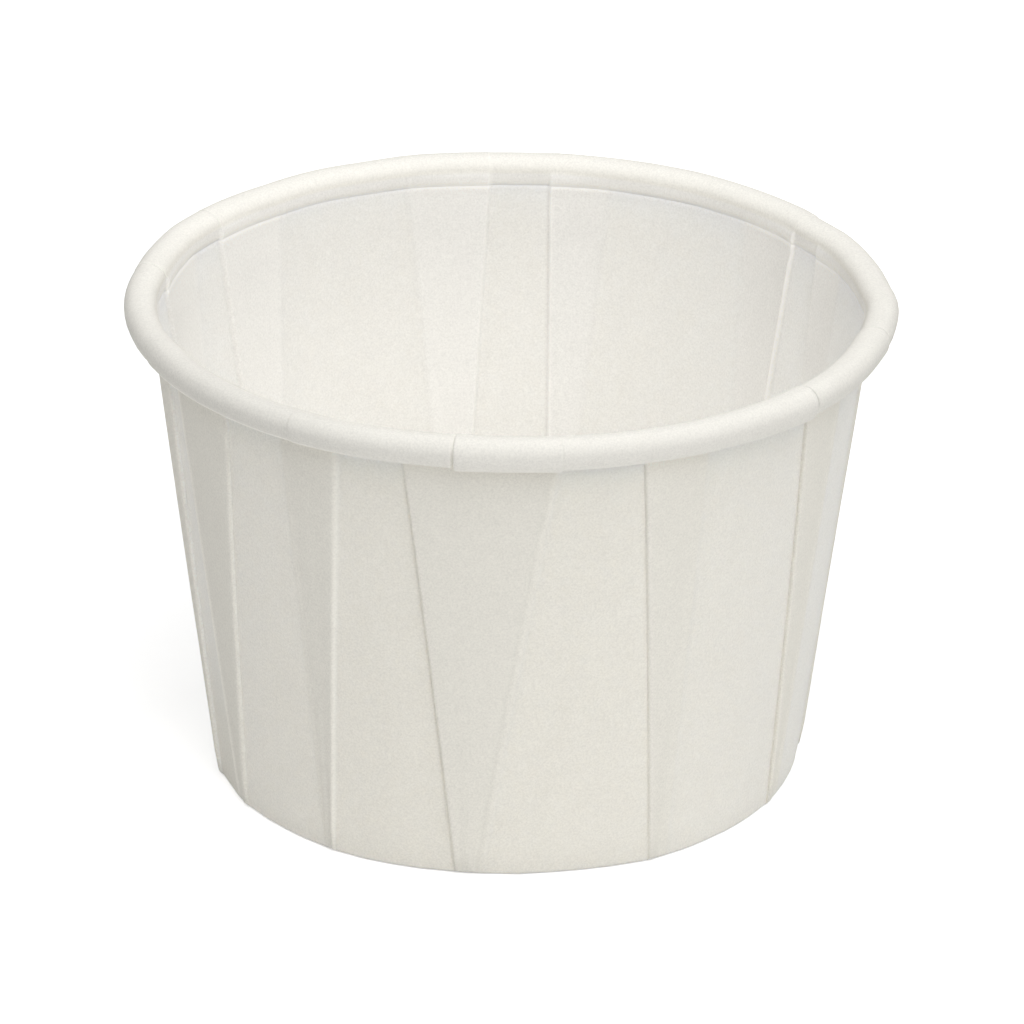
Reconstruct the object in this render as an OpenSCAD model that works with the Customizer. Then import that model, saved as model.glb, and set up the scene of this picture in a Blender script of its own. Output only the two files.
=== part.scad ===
// Paper portion cup with folded pleats and a rolled rim.
// One disc of paper is pressed into a tapered cup. The spare paper of the wall is laid in flat
// Z-folds that open out from the foot to the rim, and the edge is rolled outwards and down.
// The foot stands on z = 0 about the Z axis. Angles run from the front, -Y, towards +X.

/* [Cup] */
// Diameter over the rolled rim
top_d = 73; // [60:0.5:90]
// Diameter of the foot, where the wall's line meets the ground
base_d = 57.2; // [40:0.1:64]
// Height from the ground to the top of the rim
height = 47.2; // [30:0.1:70]

/* [Paper] */
// Thickness of one layer of paper
paper_t = 0.2; // [0.1:0.05:0.3]
// How flat the wall lies between two outer folds, from 0, round, to 1, a straight chord
panel_flatness = 0.15; // [0:0.05:0.6]
// Width of the bent edge of a fold
fold_edge = 0.15; // [0.1:0.05:0.3]

/* [Rolled rim] */
// Diameter of the roll
roll_d = 2.55; // [2:0.05:4]
// How much lower the outer side of the roll hangs than a round one
roll_drop = 0.4; // [0:0.05:1]
// Layers of paper in the skin of the roll
roll_layers = 2; // [1:0.5:2.5]
// Degrees that the paper turns, from the inside of the rim to its hidden edge
curl_turn = 295; // [220:5:300]
// How far the roll stands into the cup
roll_bulge = 0.2; // [0:0.05:0.4]
// Extra radius of the roll where a tucked fold runs into it
seam_step = 0.12; // [0:0.02:0.2]

/* [Foot] */
// Outer radius of the corner between the wall and the foot
corner_r = 0.6; // [0.4:0.1:3]
// Width of the flat ring that the cup stands on
foot_w = 4; // [2:0.5:10]
// How far the floor is raised inside that ring
floor_rise = 0.6; // [0:0.1:2]

/* [Hidden] */

// One row a pleat: its outer fold and its tucked fold at the rim, then both at the foot
pleats = [
    [-16, 8, -8.5, -4],
    [22, 33, 29, 31.5],
    [56, 68, 62, 65],
    [94, 81.5, 89, 86],
    [109, 117.5, 112, 115],
    [137.5, 125.5, 132, 129],
    [163, 174, 169, 172],
    [198, 184, 192, 189],
    [222.5, 236.5, 229, 232.5],
    [244.5, 261, 250, 254],
    [272, 289, 281, 284.5],
    [307.5, 293, 299, 296],
    [331.5, 321.5, 325.5, 322.5],
];
pleat_cuts = 3;
panel_cuts = 4;

top_r = top_d / 2;
base_r = base_d / 2;
roll_r = roll_d / 2;
roll_t = roll_layers * paper_t;
// A pleat is three layers, so its outer fold stands two layers out of the wall
fold_lift = 2 * paper_t;

roll_z = height - roll_r;
roll_x = top_r - roll_r;
crease_z = height - roll_d;
wall_top_r = top_r - roll_d;
lean = atan((wall_top_r - base_r) / roll_z);
corner_x = base_r + corner_r * tan(lean) - corner_r / cos(lean);
corner_top_z = corner_r - corner_r * sin(lean);
ramp_w = 1.5;

// Rows up the wall as shares of its height, and how far the pleats stand out at each
wall_rows = [[0.06, 1], [0.35, 1], [0.68, 1], [1, 1]];
// Turns round the corner, from straight down to the wall, as shares
corner_rows = [0.35, 0.7, 1];
hollow_steps = 6;
roll_steps = 10;
bulge_rows = [-0.35, -0.72];

// Outer face of a single layer of the wall at height z
function wall_r(z) = base_r + (wall_top_r - base_r) * z / roll_z;

// Outer folds below and above the angle a, all measured at the rim
function fold_below(a) = max([for (p = pleats, turn = [-360, 0]) if (p[0] + turn <= a) p[0] + turn]);
function fold_above(a) = min([for (p = pleats, turn = [0, 360]) if (p[0] + turn > a) p[0] + turn]);

// Share of the radius that the paper gives up at the angle a, where it lies flat between two folds
function flat_share(a) =
    let (low = fold_below(a), span = fold_above(a) - low, u = (a - low) / span)
    panel_flatness * 4 * u * (1 - u) * (1 - cos(span / 2));

// A column up the cup: [angle at the rim, angle at the foot, outward lift, inward lift, flat share]
function column(top_a, foot_a, out, in) = [top_a, foot_a, out, in, flat_share(top_a)];

edge_top = fold_edge / wall_top_r * 180 / PI;
edge_foot = fold_edge / base_r * 180 / PI;

// The columns across one pleat, from its low side to its high side
function pleat_columns(p) =
    let (
        outer_first = p[0] < p[1],
        low = outer_first ? [p[0], p[2]] : [p[1], p[3]],
        high = outer_first ? [p[1], p[3]] : [p[0], p[2]]
    )
    [
        column(low[0] - edge_top, low[1] - edge_foot, 0, 0),
        for (i = [0:pleat_cuts])
            let (u = i / pleat_cuts, tuck = outer_first ? u : 1 - u, a = low + u * (high - low))
            column(a[0], a[1], 1 - tuck, tuck),
        column(high[0] + edge_top, high[1] + edge_foot, 0, 0),
    ];

// The columns across the single layer between two pleats, without their own edges
function panel_columns(p, q, turn) =
    let (
        start = [max(p[0], p[1]) + edge_top, max(p[2], p[3]) + edge_foot],
        end = [min(q[0], q[1]) + turn - edge_top, min(q[2], q[3]) + turn - edge_foot]
    )
    [
        for (i = [1:panel_cuts - 1])
            let (a = start + i / panel_cuts * (end - start))
            column(a[0], a[1], 0, 0),
    ];

last = len(pleats) - 1;
columns = [
    for (k = [0:last])
        each concat(
            pleat_columns(pleats[k]),
            panel_columns(pleats[k], pleats[k < last ? k + 1 : 0], k < last ? 0 : 360)
        ),
];

// A point on the rolled part, turned by a about the roll's centre, where 180 faces into the cup.
// The inner half is deeper, because the wall's own paper and the bulge lie inside the roll.
function roll_point(a, r, inset) = [
    roll_x + cos(a) * (cos(a) < 0 ? r + inset : r),
    roll_z + sin(a) * (sin(a) < 0 ? r + roll_drop : r),
    1
];

// The whole section at a column, from under the floor, up the outside, round the roll,
// down the inside and back to the floor. Each point is [radius, height, share of the way to the rim].
function section(c) =
    let (
        out = c[2] * fold_lift,
        in = c[3] * fold_lift,
        skin_r = roll_r - seam_step * (1 - c[3]),
        inset = paper_t + roll_bulge + c[3] * paper_t,
        end_a = 180 - curl_turn,
        wall_h = crease_z - corner_top_z
    )
    concat(
        [
            [base_r - corner_r - foot_w - ramp_w, floor_rise, 0],
            [base_r - corner_r - foot_w, 0, 0],
            [corner_x, 0, 0],
        ],
        [
            for (u = corner_rows)
                let (a = -90 + u * (90 - lean))
                [corner_x + corner_r * cos(a), corner_r + corner_r * sin(a), 0],
        ],
        [
            for (row = wall_rows)
                let (z = corner_top_z + row[0] * wall_h)
                [wall_r(z) + out * row[1], z, row[0]],
        ],
        [
            for (i = [0:hollow_steps])
                roll_point(180 - i / hollow_steps * curl_turn, skin_r - roll_t, inset),
        ],
        [
            for (i = [0:roll_steps])
                roll_point(end_a + i / roll_steps * curl_turn, skin_r, inset),
        ],
        [
            for (row = bulge_rows)
                let (z = roll_z + row * roll_r)
                [wall_r(z) - inset - roll_bulge * row, z, 1],
        ],
        [
            for (k = [len(wall_rows) - 1:-1:0])
                let (row = wall_rows[k], z = corner_top_z + row[0] * wall_h)
                [wall_r(z) - paper_t - in * row[1], z, row[0]],
        ],
        [
            for (k = [len(corner_rows) - 1:-1:0])
                let (a = -90 + corner_rows[k] * (90 - lean), r = corner_r - paper_t)
                [corner_x + r * cos(a), corner_r + r * sin(a), 0],
        ],
        [
            [base_r - corner_r - foot_w, paper_t, 0],
            [base_r - corner_r - foot_w - ramp_w, floor_rise + paper_t, 0],
        ]
    );

// Places a point of a column's section in space
function place(p, c) =
    let (a = c[1] + p[2] * (c[0] - c[1]), r = p[0] * (1 - c[4]))
    [r * sin(a), -r * cos(a), p[1]];

// The sheet of paper: every column's section, joined to the next one round the cup
module folded_sheet() {
    rings = len(section(columns[0]));
    count = len(columns);
    under = rings * count;
    above = under + 1;
    points = concat(
        [for (c = columns) each [for (p = section(c)) place(p, c)]],
        [[0, 0, floor_rise], [0, 0, floor_rise + paper_t]]
    );
    faces = [
        for (j = [0:count - 1])
            let (here = j * rings, next = (j + 1) % count * rings)
            each concat(
                [
                    for (k = [0:rings - 2])
                        each [
                            [here + k, here + k + 1, next + k],
                            [here + k + 1, next + k + 1, next + k],
                        ],
                ],
                [
                    [under, here, next],
                    [above, next + rings - 1, here + rings - 1],
                ]
            ),
    ];
    polyhedron(points, faces);
}

module pleated_cup() {
    color("#f3f1ea") folded_sheet();
}

pleated_cup();
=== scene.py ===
# %% [markdown]
# # A pleated paper portion cup
# This lesson dresses a small paper cup for a photograph. The cup is one disc of paper that a
# heated die presses into shape: the spare paper of the wall lies in flat folds, and the edge is
# rolled outwards into a soft bead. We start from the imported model, which gives the true size,
# and make one new mesh that follows the same folds much more finely.

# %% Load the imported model
import math

import bpy
import numpy as np
from mathutils import Matrix, Vector


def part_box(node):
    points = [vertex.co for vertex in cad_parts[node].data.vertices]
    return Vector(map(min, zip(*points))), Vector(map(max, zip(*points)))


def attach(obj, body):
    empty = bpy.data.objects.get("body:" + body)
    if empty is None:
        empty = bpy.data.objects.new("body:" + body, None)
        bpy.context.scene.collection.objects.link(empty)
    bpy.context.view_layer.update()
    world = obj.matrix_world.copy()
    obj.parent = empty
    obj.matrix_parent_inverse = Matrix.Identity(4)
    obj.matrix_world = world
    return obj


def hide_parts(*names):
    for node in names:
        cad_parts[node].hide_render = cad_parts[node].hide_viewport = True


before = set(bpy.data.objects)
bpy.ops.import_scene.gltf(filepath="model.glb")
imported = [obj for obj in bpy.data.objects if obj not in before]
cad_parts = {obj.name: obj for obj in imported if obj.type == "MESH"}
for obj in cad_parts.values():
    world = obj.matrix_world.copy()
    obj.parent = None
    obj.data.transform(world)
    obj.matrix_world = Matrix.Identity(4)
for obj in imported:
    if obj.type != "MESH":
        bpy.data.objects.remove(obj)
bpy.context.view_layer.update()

cup_low, cup_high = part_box("pleated_cup")
print("packed cup, mm:", [round(1000 * (b - a), 2) for a, b in zip(cup_low, cup_high)])

# %% [markdown]
# ## The camera
# The camera comes first, because everything is judged through it. The photograph was taken with
# a long lens from a little above, so the ellipses of rim and foot are almost alike. A long lens
# far away keeps them so. The camera looks at a point near the middle of the cup, and is turned
# very slightly about its own line of sight, as the hand-held picture is.

# %% Place the camera
MM = 0.001
VIEW_TARGET = Vector((0.38, 0.0, 24.2)) * MM
VIEW_DISTANCE = 730 * MM
VIEW_ELEVATION = math.radians(24.5)
VIEW_ROLL = math.radians(0.81)
LENS = 267.8

camera = bpy.data.objects.new("view_camera", bpy.data.cameras.new("view_camera"))
bpy.context.scene.collection.objects.link(camera)
camera.data.sensor_width = 36
camera.data.lens = LENS
camera.data.clip_start = 0.01
camera.data.clip_end = 20
back_of_camera = Vector((0, -math.cos(VIEW_ELEVATION), math.sin(VIEW_ELEVATION)))
camera.location = VIEW_TARGET + back_of_camera * VIEW_DISTANCE
turn = (-back_of_camera).to_track_quat("-Z", "Y").to_matrix() @ Matrix.Rotation(VIEW_ROLL, 3, "Z")
camera.rotation_euler = turn.to_euler()
bpy.context.scene.camera = camera
print("camera at, mm:", [round(v / MM, 1) for v in camera.location])

# %% [markdown]
# ## Sizes
# The height comes from the imported model, and the rim's radius is given here. The rest are the
# sizes that a maker of such cups would set: the foot, the roll, and the paper itself. All are in
# millimetres here and become metres where the mesh is drawn.

# %% Name the sizes
HEIGHT = cup_high.z / MM
RIM_R = 36.5
FOOT_R = 28.35
ROLL_R = 1.275
PAPER = 0.2
CORNER_R = 0.5
FOOT_RING = 4.0
FLOOR_RAMP = 1.5
FLOOR_RISE = 0.6
ROLL_PAPER = 2 * PAPER
CURL_TURN = 295
ROLL_DROP = 0.4
BULGE = 0.3

roll_x = RIM_R - ROLL_R
roll_z = HEIGHT - ROLL_R
crease_z = HEIGHT - 2 * ROLL_R
wall_top_r = RIM_R - 2 * ROLL_R
lean = math.atan((wall_top_r - FOOT_R) / roll_z)
corner_x = FOOT_R + CORNER_R * math.tan(lean) - CORNER_R / math.cos(lean)
corner_top = CORNER_R * (1 - math.sin(lean))
print("wall leans out by", round(math.degrees(lean), 1), "degrees")


def wall_r(z):
    """Radius of the outer face of a single layer of paper at height z."""
    return FOOT_R + (wall_top_r - FOOT_R) * z / roll_z


# %% [markdown]
# ## The section
# A pressed cup is first of all a turned shape, so we draw the outline of its section once and
# spin it. The outline starts under the floor, goes out along the foot, up the outside, into the
# hollow of the roll, round the hidden edge, over the roll, down the inside and back to the middle
# of the floor. Each point of the outline is called a station. It also carries how far up the wall
# it lies, how strongly the folds show there, and which face of the paper it belongs to.

# %% Start the list of stations
WALL_ROWS = 22
ROLL_ROWS = 34
HOLLOW_ROWS = 12
CORNER_ROWS = 5
OUTER, ROLL, INNER = 0, 1, 2

stations = []


def station(r, z, share, folds, face, bend=0.0):
    """Adds a point of the section. bend is 1 on the roll itself, which swells and waves."""
    stations.append((r, z, share, folds, face, bend))


# %% [markdown]
# The foot and the outside of the wall come first. The folds fade in over the corner, because the
# floor of a pressed cup is smooth. From the first row of the wall on they have their full strength.

# %% Go along the foot and up the outside
FLOOR_STOPS = (0.0, 0.35, 0.7, 0.92, 1.0)
RAMP_STOPS = (0.25, 0.5, 0.75, 1.0)
RING_STOPS = (0.2, 0.6, 1.0)

floor_ring = FOOT_R - CORNER_R - FOOT_RING


def floor_height(r):
    """The underside of the floor: flat in the middle, down an easy ramp, flat on the ring."""
    t = min(max((floor_ring - r) / FLOOR_RAMP, 0), 1)
    return FLOOR_RISE * t * t * (3 - 2 * t)


floor_stops = [s * (floor_ring - FLOOR_RAMP) for s in FLOOR_STOPS]
floor_stops += [floor_ring - FLOOR_RAMP * (1 - s) for s in RAMP_STOPS]
floor_stops += [floor_ring + s * (corner_x - floor_ring) for s in RING_STOPS]
for r in floor_stops:
    station(r, floor_height(r), 0, 0, OUTER)

# Each row of the corner: its angle, and how strongly the folds show there
corner = []
for i in range(CORNER_ROWS):
    turn = -90 + (i + 1) / CORNER_ROWS * (90 - math.degrees(lean))
    corner.append((math.radians(turn), (i / CORNER_ROWS) ** 2))
for a, folds in corner:
    station(corner_x + CORNER_R * math.cos(a), CORNER_R * (1 + math.sin(a)), 0, folds, OUTER)

wall_shares = [(i + 1) / WALL_ROWS for i in range(WALL_ROWS)]
for s in wall_shares:
    z = corner_top + s * (crease_z - corner_top)
    station(wall_r(z), z, s, 1, OUTER)
print("stations up to the roll:", len(stations))

# %% [markdown]
# The roll is a strip of paper bent round until its edge is hidden, so it has two faces: the hollow
# inside and the bead that shows. The folds are pressed almost flat in it.

# %% Go round the roll
ROLL_FOLDS = 0.35


def roll_point(a, r):
    """A point of the roll, a degrees round from straight out, where 180 faces into the cup."""
    a = math.radians(a)
    inset = PAPER + BULGE if math.cos(a) < 0 else 0
    drop = ROLL_DROP if math.sin(a) < 0 else 0
    return roll_x + math.cos(a) * (r + inset), roll_z + (r + drop) * math.sin(a)


for i in range(HOLLOW_ROWS + 1):
    r, z = roll_point(180 - i / HOLLOW_ROWS * CURL_TURN, ROLL_R - ROLL_PAPER)
    station(r, z, 1, 0, ROLL, 0)
for i in range(ROLL_ROWS + 1):
    r, z = roll_point(180 - CURL_TURN + i / ROLL_ROWS * CURL_TURN, ROLL_R)
    station(r, z, 1, ROLL_FOLDS, ROLL, 1)
print("stations up to the inside:", len(stations))

# %% [markdown]
# On the inside the roll bulges into the cup, and a narrow crease runs round under it. The wall
# below the crease stands up a little. Then the section goes back down the way it came, one
# thickness of paper further in.

# %% Come down the inside
# Distance below the middle of the roll in radii of the roll, and share of the bulge
BULGE_SHAPE = (
    (0.2, 1.0), (0.4, 0.98), (0.6, 0.92), (0.78, 0.78), (0.92, 0.55), (1.02, 0.30), (1.08, 0.08),
)
# Distance below the crease, and how far the paper stands into the cup
CREASE_SHAPE = ((0.12, -0.01), (0.20, 0.01), (0.32, 0.06), (0.52, 0.06), (0.80, 0.02), (1.10, 0.0))
CREASE_FOLDS = 0.85
FOLDS_GAINED = 0.4
CREASE_ROOM = 1.3

for down, out in BULGE_SHAPE:
    z = roll_z - down * ROLL_R
    folds = ROLL_FOLDS + FOLDS_GAINED * down
    station(wall_r(z) - PAPER - BULGE * out, z, 1, folds, INNER, 1 - down)
for below, out in CREASE_SHAPE:
    z = crease_z - below
    station(wall_r(z) - PAPER - out, z, 1, CREASE_FOLDS, INNER)
for s in reversed(wall_shares[:-1]):
    z = corner_top + s * (crease_z - corner_top)
    if z < crease_z - CREASE_ROOM:
        station(wall_r(z) - PAPER, z, s, 1, INNER)
for a, folds in reversed(corner):
    r = CORNER_R - PAPER
    station(corner_x + r * math.cos(a), CORNER_R + r * math.sin(a), 0, folds, INNER)
for r in reversed(floor_stops[:-1]):
    station(r, floor_height(r) + PAPER, 0, 0, INNER)

stations = np.array(stations)
print("stations in the section:", len(stations))

# %% [markdown]
# ## The folds
# Each pleat is a Z-fold. Its outer fold is the sharp step that shows on the outside. Its tucked
# fold is the same step on the inside, and from outside it is only a soft line where three layers
# become one. Between the two folds the stack of layers leans, so that each face runs smoothly into
# the panel beside it. Angles are in degrees from the front, towards the right of the picture. They
# are read from the photograph at the rim and at the foot, and the hidden ones are chosen like them.

# %% List the pleats
# Outer fold at rim and foot, how crisp it is, the tucked fold at rim and foot, and the ridge that
# the tucked fold shows inside and outside, as shares of the step
PLEATS = [
    (-16.8, -8.7, 1.00, 8.0, -4.0, 0.08, 0.36),
    (21.7, 27.9, 0.60, 33.0, 31.5, 0.08, 0.16),
    (54.9, 61.3, 0.85, 68.0, 65.5, 0.08, 0.16),
    (94.0, 89.0, 0.50, 81.5, 86.0, 0.08, 0.16),
    (109.0, 112.0, 0.50, 117.5, 115.0, 0.08, 0.16),
    (137.5, 133.0, 0.50, 124.5, 129.5, 0.22, 0.16),
    (163.0, 169.5, 0.50, 173.6, 172.0, 0.00, 0.16),
    (198.0, 192.0, 0.50, 184.0, 189.0, 0.10, 0.16),
    (222.5, 229.0, 0.50, 237.5, 233.5, 0.20, 0.16),
    (244.5, 250.0, 0.50, 261.0, 254.0, 0.08, 0.16),
    (288.7, 288.5, 0.45, 271.0, 281.0, 0.08, 0.10),
    (309.4, 302.8, 0.45, 291.2, 299.0, 0.08, 0.10),
    (332.4, 327.4, 0.12, 321.2, 325.0, 0.08, 0.10),
]
# How much lighter or darker each pleat is painted than a single layer: its stack outside,
# its outer fold and its tucked fold outside, its stack inside, and its tucked fold inside.
# A stack's tone is partly its denser paper and partly painted light and shade, and along the
# folds it is painted highlight and painted shade
PLEAT_TONES_AND_PAINTED_LIGHT = [
    (0.00, 0.00, 0.05, 0.02, 0.00),
    (0.02, 0.02, 0.00, 0.02, 0.00),
    (0.03, -0.03, 0.00, 0.02, 0.00),
    (0.00, 0.00, 0.00, 0.02, 0.00),
    (0.00, 0.00, 0.00, 0.03, 0.00),
    (0.00, 0.00, 0.00, 0.02, 0.14),
    (0.00, 0.00, 0.00, 0.02, 0.12),
    (0.00, 0.00, 0.00, 0.04, 0.04),
    (0.00, 0.00, 0.00, 0.06, 0.00),
    (0.00, 0.00, 0.00, 0.05, 0.00),
    (0.00, 0.14, 0.00, 0.02, 0.00),
    (-0.01, 0.08, 0.11, 0.02, 0.00),
    (-0.01, 0.08, 0.00, 0.02, 0.00),
]
print("pleats:", len(PLEATS))

# %% [markdown]
# Where a fold runs into the roll, the spare paper shows as a seam: one side lies on top, and swells
# the roll a little until the swelling has died away. Some seams are dark grooves, and some are
# fine light ridges. Most dark grooves also get painted shade, and the light ridges a painted
# highlight.

# %% List the seams of the roll
# Angle, step in mm, the side that lies on top (1 is towards larger angles),
# over how many degrees the step dies away, how deep its groove is in mm, and the painted light
# along it: painted shade below zero, a painted highlight above zero
SEAMS = [
    (-8.1, 0.20, 1, 16, 0.28, 0.0),
    (8.0, 0.12, -1, 8, 0.0, 0.0),
    (51.5, 0.22, -1, 18, 0.36, -0.35),
    (77.5, 0.14, -1, 12, 0.30, -0.30),
    (124.5, 0.08, 1, 9, -0.06, 0.04),
    (184.0, 0.04, 1, 8, -0.03, 0.03),
    (237.5, 0.09, -1, 9, 0.04, -0.05),
    (261.0, 0.10, -1, 9, 0.12, -0.08),
    (291.2, 0.10, 1, 12, -0.04, 0.05),
    (326.0, 0.06, 1, 10, 0.0, 0.0),
]
print("seams:", len(SEAMS))

# %% [markdown]
# A fold isn't a plain step. The bent edge of paper is round, and may hang over a narrow crevice
# where the pleat isn't pressed quite shut. So every fold and seam is a small profile of nine
# points, and each point becomes a column of the mesh.

# %% Draw the profiles across folds and seams
FOLD_STEP = 2 * PAPER
# From the panel to the pleat: distance in mm, and height as a share of the step.
# The edge of a crisp, open fold hangs over its crevice.
LIP = [
    (-0.60, 0.00), (-0.34, 0.05), (-0.16, 0.00), (0.02, -0.22), (0.04, 0.10),
    (-0.06, 0.45), (-0.05, 0.80), (0.04, 0.96), (0.24, 1.00),
]
# A fold that is pressed shut has only a narrow crease, and a soft one is rounded
PRESSED_LIP = [
    (-0.60, 0.00), (-0.34, 0.02), (-0.14, 0.00), (-0.04, -0.10), (0.00, 0.12),
    (0.02, 0.50), (0.06, 0.82), (0.16, 0.96), (0.36, 1.00),
]
SOFT_LIP = [
    (-0.90, 0.00), (-0.65, 0.06), (-0.40, 0.22), (-0.18, 0.48), (0.02, 0.76),
    (0.20, 0.98), (0.40, 1.10), (0.62, 1.08), (0.90, 1.00),
]
# A tucked fold, seen from inside, is pressed smoother, and its edge may stand up as a ridge.
# The third value is the share of that ridge.
TUCK_LIP = [
    (-0.50, 0.00, 0.0), (-0.30, 0.02, 0.0), (-0.18, 0.10, 0.1), (-0.09, 0.34, 0.3),
    (0.00, 0.70, 0.6), (0.08, 0.94, 0.9), (0.17, 1.00, 1.0), (0.30, 1.00, 0.6), (0.55, 1.00, 0.0),
]
# Seen from the other face, a fold is only a low ridge under the paper
RIDGE = [(-0.6 + 0.15 * i, math.sin(math.pi * i / 8) ** 2) for i in range(9)]
PLAIN = [(-0.4 + 0.1 * i, 0.0, 0.0) for i in range(9)]
# Across a seam of the roll: distance in mm, share of the step, and share of the groove
SEAM_LIP = [
    (-0.50, 0.00, 0.0), (-0.24, 0.00, 0.0), (-0.16, 0.00, 0.3), (-0.09, 0.00, 1.0),
    (0.03, 0.00, 1.0), (0.05, 0.70, 0.3), (0.12, 0.93, 0.0), (0.26, 1.00, 0.0), (0.50, 1.00, 0.0),
]
# How strongly the light or shade painted along a line shows on each of the nine columns
PEAK = (0, 0, 0.1, 0.6, 1, 1, 0.6, 0.1, 0)
# The ridge that an outer fold shows on the inside
INNER_RIDGE = 0.12
print("columns of a fold:", len(LIP))

# %% [markdown]
# The columns of one fold line form a group. A group knows its angles at rim and foot and its
# profile on each face. The outer fold of a pleat makes the step outside and only a ridge inside,
# and the tucked fold does the opposite.

# %% Gather the groups of the pleats
def blended_lip(crisp):
    """A fold's profile: soft at 0, pressed shut at a half, open and crisp at 1."""
    if crisp < 0.5:
        first, second, share = SOFT_LIP, PRESSED_LIP, 2 * crisp
    else:
        first, second, share = PRESSED_LIP, LIP, 2 * crisp - 1
    return [tuple((1 - share) * a + share * b for a, b in zip(p, q)) for p, q in zip(first, second)]


def facing(profile, side):
    """The profile in order of angle, where side is 1 if the raised paper lies at larger angles."""
    return profile if side > 0 else [(-x, *rest) for x, *rest in reversed(profile)]


def toned(profile, share, stack, painted_line):
    """Adds to each point of a profile its change of tone, much of it painted light and shade."""
    return [(x, y, stack * s + painted_line * peak) for (x, y), s, peak in zip(profile, share, PEAK)]


def fold_group(top, foot, step, ridge, side, tucked, outside, inside):
    """
    The columns of one fold line: a step on its own face, a low ridge on the other. outside and
    inside are the stack's change of tone and the light or shade painted along the line, per face.
    """
    share = [min(max(y, 0), 1) for _, y in step]
    low = [(x, y * ridge) for x, y in RIDGE]
    outer = toned(low if tucked else step, share, *outside)
    inner = toned(step if tucked else low, share, *inside)
    return {"top": top, "foot": foot, "roll": top, OUTER: facing(outer, side),
            INNER: facing(inner, side), ROLL: PLAIN, "lean": (0, 0), "seam": 0}


groups = []
for pleat, tones in zip(PLEATS, PLEAT_TONES_AND_PAINTED_LIGHT):
    outer_top, outer_foot, crisp, tuck_top, tuck_foot, ridge_in, ridge_out = pleat
    # Stack tones are partly denser paper and partly painted light; fold lines are painted light
    stack_out, fold_painted_light, tuck_painted_light, stack_in, tuck_painted_light_in = tones
    side = 1 if tuck_top > outer_top else -1
    tuck = [(x, y + ridge_in * ridge) for x, y, ridge in TUCK_LIP]
    pair = [
        fold_group(outer_top, outer_foot, blended_lip(crisp), INNER_RIDGE, side, False,
                   (stack_out, fold_painted_light), (stack_in, 0)),
        fold_group(tuck_top, tuck_foot, tuck, ridge_out, -side, True,
                   (stack_out, tuck_painted_light), (stack_in, tuck_painted_light_in)),
    ]
    groups += pair if side > 0 else pair[::-1]
print("groups of the pleats:", len(groups))

# %% [markdown]
# A seam of the roll belongs to the fold below it. Where none is near, the seam gets a group of its
# own, which has to stand as high as the paper around it: on the leaning stack of a pleat, or on the
# single layer between two.

# %% Add the groups of the seams
NEAR_FOLD = 3.0


def inside_pleat(top):
    """For an angle at the rim: that at the foot, and the stack's lean and tone on both faces."""
    # A pleat's tones are partly painted light and shade
    for pleat, tones in zip(PLEATS, PLEAT_TONES_AND_PAINTED_LIGHT):
        outer_top, outer_foot, _, tuck_top, tuck_foot, *_ = pleat
        u = (top - outer_top) / (tuck_top - outer_top)
        if 0 < u < 1:
            return outer_foot + u * (tuck_foot - outer_foot), (1 - u, u), (tones[0], tones[3])
    low = max((g for g in groups if g["top"] < top), key=lambda g: g["top"])
    high = min((g for g in groups if g["top"] > top), key=lambda g: g["top"])
    share = (top - low["top"]) / (high["top"] - low["top"])
    return low["foot"] + (high["foot"] - low["foot"]) * share, (0, 0), (0, 0)


for angle, step, side, fade, groove, painted_groove_shading in SEAMS:
    nearest = min(groups, key=lambda g: abs(g["top"] - angle))
    if abs(nearest["top"] - angle) > NEAR_FOLD:
        foot, leaning, tones = inside_pleat(angle)
        nearest = {"top": angle, "foot": foot, "lean": leaning}
        for face, shade in zip((OUTER, INNER), tones):
            nearest[face] = [(x, y, shade) for x, y, _ in PLAIN]
        groups.append(nearest)
    nearest["roll"] = angle
    # Painted shade along dark grooves, and painted highlights along light ridges
    nearest[ROLL] = facing([(x, step * y - groove * g, painted_groove_shading * g) for x, y, g in SEAM_LIP], side)
    nearest["seam"] = 1
groups.sort(key=lambda g: g["top"])
print("groups of columns:", len(groups))

# %% [markdown]
# Now the groups become columns. A column has an angle of its own for each face, at the rim and at
# the foot, because the two faces of a fold aren't quite opposite each other. It also has its height
# outside and inside, how far the roll swells there, and its changes of tone, which are much of the
# light and shade painted on the paper.

# %% Give every column its angles and its heights
SEAM_REACH = 120
# The most of the way to the next group that a group's columns may take up
ROOM = 0.45


def swell_at(angle, own=None):
    """How far the roll is swollen at an angle by its seams, in mm, leaving out one of them."""
    total = 0
    for centre, step, side, fade, *_ in SEAMS:
        away = ((angle - centre) * side) % 360
        if centre != own and away < SEAM_REACH:
            total += step * math.exp(-away / fade)
    return total


def spread(g, before, after, face, end, radius):
    """The angles of a group's columns on one face, kept clear of the groups beside it."""
    across = [x for x, *_ in g[face]]
    per_mm = math.degrees(1 / radius)
    squeeze = min(1, ROOM * (g[end] - before[end]) / (-across[0] * per_mm),
                  ROOM * (after[end] - g[end]) / (across[-1] * per_mm))
    return [g[end] + x * squeeze * per_mm for x in across]


def turned(g, turns):
    """The same group, whole turns further round."""
    return dict(g, **{k: g[k] + 360 * turns for k in ("top", "foot", "roll")})


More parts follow.
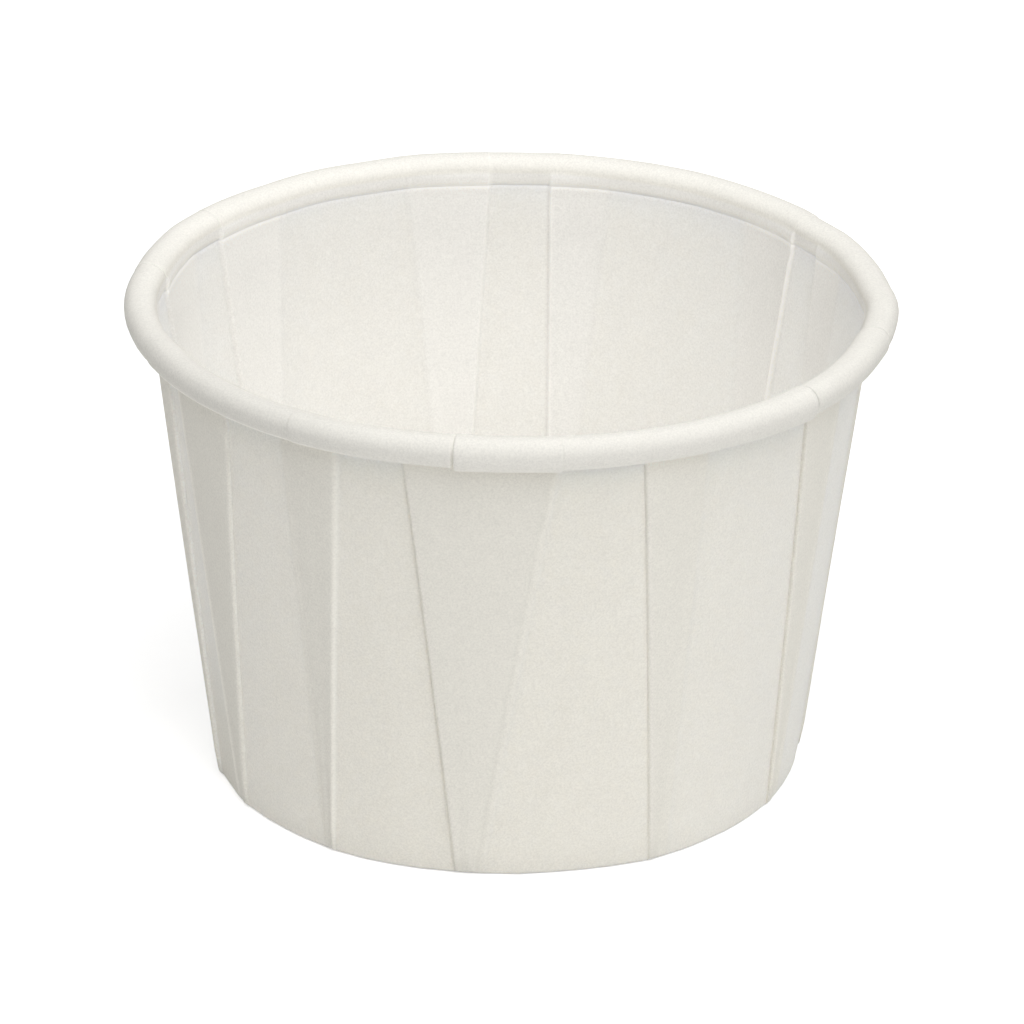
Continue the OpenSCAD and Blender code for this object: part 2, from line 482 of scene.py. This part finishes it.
TRACKS = ((OUTER, "top", wall_top_r), (OUTER, "foot", FOOT_R), (INNER, "top", wall_top_r),
          (INNER, "foot", FOOT_R), (ROLL, "roll", RIM_R))
blocks = []
for i, g in enumerate(groups):
    before = groups[i - 1] if i else turned(groups[-1], -1)
    after = groups[i + 1] if i + 1 < len(groups) else turned(groups[0], 1)
    angles = [spread(g, before, after, *track) for track in TRACKS]
    out = [y + g["lean"][0] for _, y, _ in g[OUTER]]
    inn = [y + g["lean"][1] for _, y, _ in g[INNER]]
    own = g["roll"] if g["seam"] else None
    swell = [y + swell_at(a, own) for (_, y, _), a in zip(g[ROLL], angles[4])]
    shades = [[shade for _, _, shade in g[face]] for face in (OUTER, INNER, ROLL)]
    blocks.append(np.array(angles + [out, inn, swell] + shades).T)
print("blocks of columns:", len(blocks))

# %% [markdown]
# Between the groups the paper is plain, so a few columns are enough there to keep it round.

# %% Fill the plain paper between the groups
FILL_STEP = 2.2
SWELL = 7
WHOLE_TURN = 360 * np.array([1] * len(TRACKS) + [0] * 6)

rows = []
for i, block in enumerate(blocks):
    rows += list(block)
    after = blocks[(i + 1) % len(blocks)][0] + (WHOLE_TURN if i + 1 == len(blocks) else 0)
    fill = max(1, round((after[0] - block[-1][0]) / FILL_STEP))
    for k in range(1, fill):
        row = block[-1] + (after - block[-1]) * k / fill
        row[SWELL] = swell_at(row[4])
        rows.append(row)
columns = np.array(rows)
print("columns round the cup:", len(columns))

# %% [markdown]
# ## Drawing and spinning the section
# Now the mesh itself. A plane is added and merged to one point, the point is extruded from station
# to station, and the finished outline is spun about the upright axis with one step for every
# column. The seam where the spin meets itself and the two middle points are then merged, so the
# sheet is one closed skin.

# %% Draw the section and spin it
SAME_POINT = 0.002
bpy.ops.object.select_all(action="DESELECT")
bpy.ops.mesh.primitive_plane_add(size=MM, location=(0, 0, 0))
cup = bpy.context.object
cup.name = cup.data.name = "folded_cup"
bpy.ops.object.mode_set(mode="EDIT")
bpy.ops.mesh.select_all(action="SELECT")
bpy.ops.mesh.merge(type="CENTER")
here = Vector((stations[0][0], 0, stations[0][1])) * MM
bpy.ops.transform.translate(value=here)
for r, z in stations[1:, :2]:
    there = Vector((r, 0, z)) * MM
    bpy.ops.mesh.extrude_region_move(TRANSFORM_OT_translate={"value": there - here})
    here = there
bpy.ops.mesh.select_all(action="SELECT")
bpy.ops.mesh.spin(steps=len(columns), angle=2 * math.pi, center=(0, 0, 0), axis=(0, 0, 1))
bpy.ops.mesh.select_all(action="SELECT")
bpy.ops.mesh.remove_doubles(threshold=SAME_POINT * MM)
bpy.ops.object.mode_set(mode="OBJECT")
print("turned cup:", len(cup.data.vertices), "points,", len(cup.data.polygons), "faces")

# %% [markdown]
# ## Pressing the folds
# The turned cup has a point for every station on every column, so the folds can be pressed in by
# moving points: each one slides round to its column's own angle, and rises off the wall by its
# column's height. First we find the station and the column that each point belongs to.

# %% Find the station and column of every point
points = np.zeros(len(cup.data.vertices) * 3)
cup.data.vertices.foreach_get("co", points)
points = points.reshape(-1, 3) / MM
point_r = np.hypot(points[:, 0], points[:, 1])
gap = np.hypot(point_r[:, None] - stations[None, :, 0],
               points[:, 2][:, None] - stations[None, :, 1])
at_station = gap.argmin(axis=1)
turns = np.arctan2(points[:, 1], points[:, 0]) / (2 * math.pi)
at_column = np.round(turns * len(columns)).astype(int) % len(columns)
print("largest gap to a station, mm:", round(float(gap.min(axis=1).max()), 5))

# %% [markdown]
# A paper cup is never quite round. The stacks of the pleats are stiff, and the paper between them
# would rather lie flat. So the rim and the foot each get an outline of their own, as a short list
# of angles and distances. Such a list is easy to compare with the picture and to change.

# %% Describe how far rim and foot are from round
# Angle, and how many mm the outline stands out there
RIM_SHAPE = [
    (-100, -0.12), (-90, 0.08), (-83, 0.11), (-75, 0.00), (-67, -0.20), (-50, -0.20), (-30, -0.30),
    (-10, -0.50), (10, -0.50), (30, -0.30), (60, -0.20), (75, -0.20), (81, 0.00), (90, 0.22),
    (98, -0.12), (107, -0.15), (115, -0.05), (123, -0.28), (128, 0.00), (140, 0.05), (149, 0.20),
    (158, 0.05), (170, 0.00), (180, -0.30), (187, -0.25), (198, 0.00), (204, -0.15), (214, 0.10),
    (224, -0.15), (232, 0.00), (240, 0.10), (244, 0.17), (252, 0.00),
]
FOOT_SHAPE = [
    (-95, -0.12), (-82, -0.07), (-70, 0.12), (-58, 0.53), (-48, 0.62), (-40, 0.76), (-29, 0.98),
    (-20, 0.85), (-8, 0.65), (3, 0.65), (12, 0.45), (18, 0.55), (27, 0.75), (35, 0.60), (45, 0.34),
    (60, 0.16), (75, 0.00), (90, -0.06), (110, 0.10), (122, 0.00), (135, 0.15), (150, 0.00),
    (168, 0.15), (180, 0.05), (192, 0.15), (210, 0.00), (228, 0.20), (240, 0.05), (250, 0.0),
]


def shaped(angle, shape):
    """Smooth values between the points of a shape, once round the cup."""
    at = np.array([a for a, _ in shape] + [shape[0][0] + 360])
    value = np.array([v for _, v in shape] + [shape[0][1]])
    angle = (angle - at[0]) % 360 + at[0]
    k = np.clip(np.searchsorted(at, angle, side="right") - 1, 0, len(at) - 2)
    u = (angle - at[k]) / (at[k + 1] - at[k])
    return value[k] + (value[k + 1] - value[k]) * u * u * (3 - 2 * u)


for name, shape in (("rim", RIM_SHAPE), ("foot", FOOT_SHAPE)):
    print(name, "out of round, mm:", min(v for _, v in shape), "to", max(v for _, v in shape))

# %% [markdown]
# The paper is also faintly wavy. Noise would do for that, but a sum of a few sines is as good, runs
# on without a break round the cup, and is the same in every render.

# %% Describe how wavy the paper is
WAVE_SIZE = 0.05
# Turns round the cup, turns up the wall, phase, and share of the size
WALL_WAVES = (
    (5, 0.10, 0.4, 0.5), (11, -0.17, 2.1, 0.3), (17, 0.26, 4.0, 0.2), (29, -0.4, 1.0, 0.12),
)
ROLL_WAVES = ((4, 0, 0.9, 0.5), (9, 0, 2.6, 0.35), (21, 0, 0.3, 0.2), (47, 0, 5.0, 0.12))


def waves(angle, height, parts):
    """A slow, fixed unevenness in mm."""
    total = 0
    for around, up, phase, part in parts:
        total = total + part * np.sin(np.radians(angle) * around + height * up + phase)
    return WAVE_SIZE * total


print("waves of at most, mm:", round(WAVE_SIZE * sum(part for *_, part in WALL_WAVES), 3))

# %% [markdown]
# Now every point moves at once. The folds push it in or out, the outline and the waves shift it,
# and on the roll the seams swell it about the roll's own centre line, more below than above.

# %% Move the points
SWELL_ABOVE, SWELL_ADDED_BELOW = 0.35, 0.65
# Points nearer to the axis than this, in mm, are the two middles of the floor and stay
MIDDLE = 0.01

s_r, s_z, s_share, s_folds, s_face, s_bend = (stations[at_station, k] for k in range(6))
column = (columns[at_column, k] for k in range(columns.shape[1]))
out_top, out_foot, in_top, in_foot, roll_angle, rise_out, rise_in, swell, *shades = column
on_outer, on_roll, on_inner = (s_face == k for k in (OUTER, ROLL, INNER))
top = np.where(on_inner, in_top, out_top)
foot = np.where(on_inner, in_foot, out_foot)
angle = foot + s_share * (top - foot)
angle = angle * (1 - s_bend) + roll_angle * s_bend
rise = np.where(on_outer, rise_out, np.where(on_inner, -rise_in, 0)) * s_folds * FOLD_STEP

out_of_round = shaped(foot, FOOT_SHAPE) * (1 - s_share) + shaped(top, RIM_SHAPE) * s_share
out_of_round *= np.clip(s_r / FOOT_R, 0, 1)
wavy = waves(top, s_z, WALL_WAVES) * s_share
new_r = s_r + rise + wavy * (1 - s_bend) + out_of_round
new_z = s_z.copy()

below = (1 - np.clip((s_z - roll_z) / ROLL_R, -1, 1)) / 2
grow = swell * (SWELL_ABOVE + SWELL_ADDED_BELOW * below) / ROLL_R * s_bend
new_r += (s_r - roll_x) * grow
new_z += (s_z - roll_z) * grow
new_z += waves(top, 0, ROLL_WAVES) * s_bend

a = np.radians(angle)
new_points = np.stack([new_r * np.sin(a), -new_r * np.cos(a), new_z], axis=1)
middle = point_r < MIDDLE
new_points[middle] = points[middle]
cup.data.vertices.foreach_set("co", (new_points * MM).ravel())
cup.data.update()
print("pressed cup, mm:", np.round(new_points.min(axis=0), 2), np.round(new_points.max(axis=0), 2))

# %% [markdown]
# ## Layers
# The material will need to know where one layer of paper lies and where three do, because only one
# layer lets light through. The roll counts as three. The number is kept at every point of the mesh.

# %% Keep the number of layers at every point
# Near the foot one pleat lies over the next, at the far left of the picture: between which angles,
# up to which share of the wall, and over which share of it that ends
COVERED_FROM, COVERED_UNTIL = 288.7, 291.2
COVERED_SHARE = 0.36
COVERED_FADE = 0.2
ABOVE_CREASE = 0.01

stack = np.clip(rise_out + rise_in, 0, 1) * s_folds
beside = (out_top > COVERED_FROM) * (out_top < COVERED_UNTIL)
covered = np.clip((COVERED_SHARE - s_share) / COVERED_FADE, 0, 1) * beside
on_bead = on_roll | (s_z > crease_z + ABOVE_CREASE)
stack = np.where(on_bead, 1, np.maximum(stack, covered))
layers = cup.data.attributes.new("layers", "FLOAT", "POINT")
layers.data.foreach_set("value", 1 + 2 * stack)
print("layers on average:", round(float(1 + 2 * stack.mean()), 2))

# %% [markdown]
# ## Tones and painted light
# Paper that was pressed in a die isn't of one tone, and light goes to and fro between its folds.
# Both show as small differences that lamps and material alone don't give, so both are painted
# into the paper's colour: the denser folds as tone, and much of the rest as painted light and
# shade, such as highlights along folds and edges and lighter creases under the roll. They could
# be painted as an image. Here they are a few numbers for each fold and each side, found by
# comparing brightness with the photograph. They make up for its light as well as for its paper,
# so they would have to be found again under other lamps.

# %% List the tones and painted light of roll and wall
# Angle, and how much lighter or darker: the roll's tone with painted shade, and the painted
# highlight along its lower edge
ROLL_TONE_AND_PAINTED_SHADE = [
    (-95, -0.04), (-70, -0.09), (-50, -0.11), (-35, -0.10), (-15, -0.05), (0, -0.04), (30, -0.04),
    (60, -0.04), (90, -0.04), (120, -0.03), (150, -0.02), (210, -0.02), (240, -0.01),
]
EDGE_PAINTED_HIGHLIGHT = [(-80, 0.0), (-72, 0.28), (-40, 0.28), (-18, 0.0), (0, 0.0)]
# Light and shade painted on the two faces of the wall, by angle round the cup
OUTSIDE_PAINTED_LIGHT = [
    (-100, 0.0), (-60, -0.01), (-45, -0.015), (0, -0.01), (50, 0.005), (62, 0.03), (85, 0.03),
    (110, 0.0),
]
INSIDE_PAINTED_LIGHT = [
    (-110, 0.045), (-70, 0.045), (0, 0.02), (70, 0.045), (130, 0.045), (160, 0.018), (200, 0.005),
    (225, 0.008), (240, 0.02),
]
# Painted light that lightens the lower and inner sides of the roll
LOWER_ROLL_PAINTED_LIGHT = 0.15
LOWER_ROLL_POWER = 1.5
INNER_ROLL_PAINTED_LIGHT = 0.09
# The wall near the roll: distance below the crease in mm, and change of tone: painted light
# that lightens the crease inside and the wall under the roll outside
INSIDE_CREASE_PAINTED_LIGHT = (
    (-1.3, 0.0), (-1.0, 0.07), (-0.2, 0.09), (-0.02, 0.2), (0.16, 0.2), (0.3, 0.09), (0.8, 0.07),
    (1.5, 0.03), (4, 0.0),
)
UNDER_ROLL_PAINTED_LIGHT = ((0.0, 0.22), (0.5, 0.18), (1.5, 0.10), (3.0, 0.04), (5.0, 0.0))
# The inside is painted a little bluer, and stacks seen from outside a little yellower: painted
# colour of the light on them, not of the paper
INSIDE_PAINTED_LIGHT_TINT = np.array((0.999, 1.006, 1.037))
STACK_PAINTED_LIGHT_TINT = np.array((1.0, 0.995, 0.975))
print("tones round the roll:", len(ROLL_TONE_AND_PAINTED_SHADE))

# %% [markdown]
# The roll's tones and painted light follow the direction from the roll's centre line. The
# camera sees the roll's lower edge at a steep slope in front and at flatter ones towards the
# sides, and the painted highlight lies just above that edge. Where the wall runs up into the
# roll, one set of tones becomes the other.

# %% Keep the tone and painted light of every point
# Where the painted highlight along the roll's lower edge lies, as the camera sees that edge
EDGE_SLOPE = 3.8
LEAST_SLOPE = 0.1
HIGHLIGHT_ABOVE_EDGE = 5
HIGHLIGHT_WIDTH = 7

shade_out, shade_in, shade_roll = shades
section_turn = np.degrees(np.arctan2(s_z - roll_z, s_r - roll_x))
frontal = np.clip(np.cos(np.radians(roll_angle)), LEAST_SLOPE, 1)
highlight_turn = HIGHLIGHT_ABOVE_EDGE - np.degrees(np.arctan(EDGE_SLOPE * frontal))
painted_line = np.exp(-((section_turn - highlight_turn) / HIGHLIGHT_WIDTH) ** 2)
# Roll tone with painted shade, the seams' painted light, and the painted edge highlight
roll_tone = shaped(roll_angle, ROLL_TONE_AND_PAINTED_SHADE) + shade_roll + shaped(roll_angle, EDGE_PAINTED_HIGHLIGHT) * painted_line
lower_side = np.clip(-np.sin(np.radians(section_turn)), 0, 1)
# Painted light on the lower and inner sides of the roll
roll_tone += LOWER_ROLL_PAINTED_LIGHT * lower_side ** LOWER_ROLL_POWER
roll_tone += INNER_ROLL_PAINTED_LIGHT * np.clip(-np.cos(np.radians(section_turn)), 0, 1)

# Pleat and seam tones, partly painted light, and light and shade painted along the folds
wall_tone = np.where(on_inner, shade_in, shade_out) * s_folds
# Light and shade painted round the wall, by angle
wall_tone += np.where(on_inner, shaped(top, INSIDE_PAINTED_LIGHT), shaped(top, OUTSIDE_PAINTED_LIGHT))
# Painted light in the crease inside, and under the roll outside
painted_light_near_roll = [np.interp(crease_z - s_z, *zip(*tones)) for tones in (INSIDE_CREASE_PAINTED_LIGHT, UNDER_ROLL_PAINTED_LIGHT)]
wall_tone += np.where(on_inner, *painted_light_near_roll)
towards_roll = np.where(on_roll, s_bend > 0, np.clip((s_z - crease_z) / ROLL_R, 0, 1))
tone = 1 + wall_tone + (roll_tone - wall_tone) * towards_roll ** 2

# Painted colour of the light: a bluer inside and yellower stacks outside
outside_painted_tint = np.where(on_roll[:, None], 1, 1 + stack[:, None] * (STACK_PAINTED_LIGHT_TINT - 1))
tone_and_painted_light = np.where(on_inner[:, None], INSIDE_PAINTED_LIGHT_TINT, outside_painted_tint)
tone_and_painted_light = np.hstack([tone_and_painted_light * tone[:, None], np.ones((len(tone), 1))])
# Tone and painted light and shade, kept with the mesh as one colour
cup.data.attributes.new("tone_and_painted_light", "FLOAT_COLOR", "POINT").data.foreach_set("color", tone_and_painted_light.ravel())
print("tone from", round(float(tone.min()), 2), "to", round(float(tone.max()), 2))

# %% [markdown]
# Last, the faces are all turned outwards and shaded smoothly. The bent edges of the folds have
# faces of their own, so nothing needs a sharp edge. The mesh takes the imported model's place.

# %% Close the skin and smooth it
bpy.ops.object.select_all(action="DESELECT")
cup.select_set(True)
bpy.context.view_layer.objects.active = cup
bpy.ops.object.mode_set(mode="EDIT")
bpy.ops.mesh.select_all(action="SELECT")
bpy.ops.mesh.normals_make_consistent(inside=False)
bpy.ops.object.mode_set(mode="OBJECT")
bpy.ops.object.shade_smooth()
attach(cup, "root")
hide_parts("pleated_cup")
print("smoothed faces:", len(cup.data.polygons))

# %% [markdown]
# ## The paper
# The cup is of uncoated off-white paper, which is quite matt. One layer of it lets some light
# through, so it looks a little lighter than the three layers of a pleat. Thin glassy paper could be
# made with a translucent shader. Scattering under the surface suits this thicker paper better:
# its weight falls from one at a single layer to nothing at three.

# %% Make the paper's material
PAPER_COLOUR = (0.880, 0.860, 0.802, 1)
PAPER_ROUGHNESS = 0.85
SCATTER_RADIUS = (1.0, 0.98, 0.95)
# How deep light scatters in one and in three layers, in mm
SCATTER_DEPTH = (0.17, 0.06)


def node_of(tree, kind, **values):
    """Adds a node and sets its plain properties and its unlinked inputs by name."""
    node = tree.nodes.new(kind)
    for name, value in values.items():
        if name in node.inputs:
            node.inputs[name].default_value = value
        else:
            setattr(node, name, value)
    return node


def range_of(tree, from_low, from_high, to_low, to_high):
    """Adds a node that maps one range of values to another."""
    node = node_of(tree, "ShaderNodeMapRange")
    node.inputs["From Min"].default_value = from_low
    node.inputs["From Max"].default_value = from_high
    node.inputs["To Min"].default_value = to_low
    node.inputs["To Max"].default_value = to_high
    return node


paper = bpy.data.materials.new("uncoated_paper")
paper.use_nodes = True
tree = paper.node_tree
tree.nodes.clear()
out = node_of(tree, "ShaderNodeOutputMaterial")
skin = node_of(tree, "ShaderNodeBsdfPrincipled", Roughness=PAPER_ROUGHNESS)
skin.inputs["Specular IOR Level"].default_value = 0.0
skin.inputs["Subsurface Radius"].default_value = SCATTER_RADIUS
layer_count = node_of(tree, "ShaderNodeAttribute", attribute_type="GEOMETRY",
                      attribute_name="layers")
depth = range_of(tree, 1, 3, SCATTER_DEPTH[0] * MM, SCATTER_DEPTH[1] * MM)
tree.links.new(layer_count.outputs["Fac"], depth.inputs["Value"])
tree.links.new(depth.outputs["Result"], skin.inputs["Subsurface Scale"])
through = range_of(tree, 1, 3, 1.0, 0.0)
tree.links.new(layer_count.outputs["Fac"], through.inputs["Value"])
tree.links.new(through.outputs["Result"], skin.inputs["Subsurface Weight"])
tree.links.new(skin.outputs["BSDF"], out.inputs["Surface"])
cup.data.materials.clear()
cup.data.materials.append(paper)
print("material:", paper.name)

# %% [markdown]
# Close up, the paper has a fine grain of fibres, and clouds where the fibres lie closer. Both are
# noise that makes small changes of tone, and the grain also roughens the surface a little. The
# paper's colour is then its plain colour, times the tone and painted light and shade kept with the
# mesh, times this noise.

# %% Add grain, clouds, and the tone and painted light kept with the mesh
GRAIN_SCALE, CLOUD_SCALE = 5200, 420
GRAIN_TONE = (0.935, 1.065)
CLOUD_TONE = (0.99, 1.01)
BUMP_STRENGTH = 0.25
BUMP_HEIGHT = 0.01

place = node_of(tree, "ShaderNodeTexCoord")
grain = node_of(tree, "ShaderNodeTexNoise", Scale=GRAIN_SCALE, Detail=1, Roughness=0.7)
clouds = node_of(tree, "ShaderNodeTexNoise", Scale=CLOUD_SCALE, Detail=2, Roughness=0.6)
grain_tone = range_of(tree, 0.25, 0.75, *GRAIN_TONE)
cloud_tone = range_of(tree, 0.25, 0.75, *CLOUD_TONE)
noise_tone = node_of(tree, "ShaderNodeMath", operation="MULTIPLY")
for noise, ranged, socket in ((grain, grain_tone, 0), (clouds, cloud_tone, 1)):
    tree.links.new(place.outputs["Object"], noise.inputs["Vector"])
    tree.links.new(noise.outputs["Fac"], ranged.inputs["Value"])
    tree.links.new(ranged.outputs["Result"], noise_tone.inputs[socket])

base = node_of(tree, "ShaderNodeRGB")
base.outputs[0].default_value = PAPER_COLOUR
# The kept tone with its painted light and shade
kept_tone_and_painted_light = node_of(tree, "ShaderNodeAttribute", attribute_type="GEOMETRY", attribute_name="tone_and_painted_light")
tinted = node_of(tree, "ShaderNodeVectorMath", operation="MULTIPLY")
grained = node_of(tree, "ShaderNodeVectorMath", operation="SCALE")
tree.links.new(base.outputs[0], tinted.inputs[0])
tree.links.new(kept_tone_and_painted_light.outputs["Color"], tinted.inputs[1])
tree.links.new(tinted.outputs["Vector"], grained.inputs[0])
tree.links.new(noise_tone.outputs[0], grained.inputs["Scale"])
tree.links.new(grained.outputs["Vector"], skin.inputs["Base Color"])

bump = node_of(tree, "ShaderNodeBump", Strength=BUMP_STRENGTH, Distance=BUMP_HEIGHT * MM)
tree.links.new(grain.outputs["Fac"], bump.inputs["Height"])
tree.links.new(bump.outputs["Normal"], skin.inputs["Normal"])
print("nodes of the paper:", len(tree.nodes))

# %% [markdown]
# ## The stage
# A plain white table and soft studio light. The table is matt and reaches beyond the picture. For
# the camera alone it is drawn a little whiter, so the background comes out white without any more
# light on the cup, and the cup's shadow stays.

# %% Make the table
TABLE_R = 0.8
TABLE_GREY = 0.8
TABLE_LIFT = 0.47

bpy.ops.object.select_all(action="DESELECT")
bpy.ops.mesh.primitive_circle_add(vertices=96, radius=TABLE_R, fill_type="NGON", location=(0, 0, 0))
table = bpy.context.object
table.name = "table"
table_paint = bpy.data.materials.new("white_table")
table_paint.use_nodes = True
tree = table_paint.node_tree
tree.nodes.clear()
out = node_of(tree, "ShaderNodeOutputMaterial")
matt = node_of(tree, "ShaderNodeBsdfDiffuse")
path = node_of(tree, "ShaderNodeLightPath")
matt.inputs["Color"].default_value = (TABLE_GREY, TABLE_GREY, TABLE_GREY, 1)
lift = node_of(tree, "ShaderNodeEmission", Strength=TABLE_LIFT)
both = node_of(tree, "ShaderNodeAddShader")
choose = node_of(tree, "ShaderNodeMixShader")
tree.links.new(matt.outputs[0], both.inputs[0])
tree.links.new(lift.outputs[0], both.inputs[1])
tree.links.new(path.outputs["Is Camera Ray"], choose.inputs[0])
tree.links.new(matt.outputs[0], choose.inputs[1])
tree.links.new(both.outputs[0], choose.inputs[2])
tree.links.new(choose.outputs[0], out.inputs["Surface"])
table.data.materials.append(table_paint)
print("table radius, m:", TABLE_R)

# %% [markdown]
# The cup is lit from all round by large soft lamps, as in a light tent: the strongest in front at
# the right and behind at the right, the weakest at the left. So no face is dark, and the pleats
# still show by their slope. One large dome would be simpler, but it would hide the folds.

# %% Hang the lamps
LAMP_DISTANCE = 1.2
LAMP_SIZE = 0.8
# Name, degrees round from the front, degrees above the table, and watts
LAMPS = (
    ("key_lamp", 40, 40, 4.0),
    ("front_lamp", 0, 40, 3.0),
    ("top_right_lamp", 40, 65, 3.3),
    ("top_left_lamp", -40, 65, 3.0),
    ("left_lamp", -40, 40, 1.0),
    ("back_right_lamp", 120, 50, 3.6),
    ("back_left_lamp", -105, 45, 2.7),
    ("back_lamp", 180, 50, 1.0),
)

for name, azimuth, elevation, watts in LAMPS:
    lamp = bpy.data.lights.new(name, "AREA")
    lamp.shape = "SQUARE"
    lamp.size = LAMP_SIZE
    lamp.energy = watts
    holder = bpy.data.objects.new(name, lamp)
    bpy.context.scene.collection.objects.link(holder)
    a, e = math.radians(azimuth), math.radians(elevation)
    away = Vector((math.sin(a) * math.cos(e), -math.cos(a) * math.cos(e), math.sin(e)))
    holder.location = VIEW_TARGET + away * LAMP_DISTANCE
    holder.rotation_euler = away.to_track_quat("Z", "Y").to_euler()
print("lamps:", len(LAMPS), "watts in all:", round(sum(watts for *_, watts in LAMPS), 1))

# %% [markdown]
# The world behind everything is pure white to the camera and gives almost no light itself.

# %% Make the world white
WORLD_GLOW = 0.02

world = bpy.data.worlds.new("studio")
world.use_nodes = True
bpy.context.scene.world = world
tree = world.node_tree
tree.nodes.clear()
out = node_of(tree, "ShaderNodeOutputWorld")
glow = node_of(tree, "ShaderNodeBackground", Strength=WORLD_GLOW)
seen = node_of(tree, "ShaderNodeBackground", Strength=1.0)
seen.inputs["Color"].default_value = (1, 1, 1, 1)
glow.inputs["Color"].default_value = (1, 1, 1, 1)
path = node_of(tree, "ShaderNodeLightPath")
either = node_of(tree, "ShaderNodeMath", operation="MAXIMUM")
choose = node_of(tree, "ShaderNodeMixShader")
tree.links.new(path.outputs["Is Camera Ray"], either.inputs[0])
tree.links.new(path.outputs["Is Glossy Ray"], either.inputs[1])
tree.links.new(either.outputs[0], choose.inputs[0])
tree.links.new(glow.outputs[0], choose.inputs[1])
tree.links.new(seen.outputs[0], choose.inputs[2])
tree.links.new(choose.outputs[0], out.inputs["Surface"])

bpy.context.scene.view_settings.view_transform = "Standard"
print("view transform:", bpy.context.scene.view_settings.view_transform)
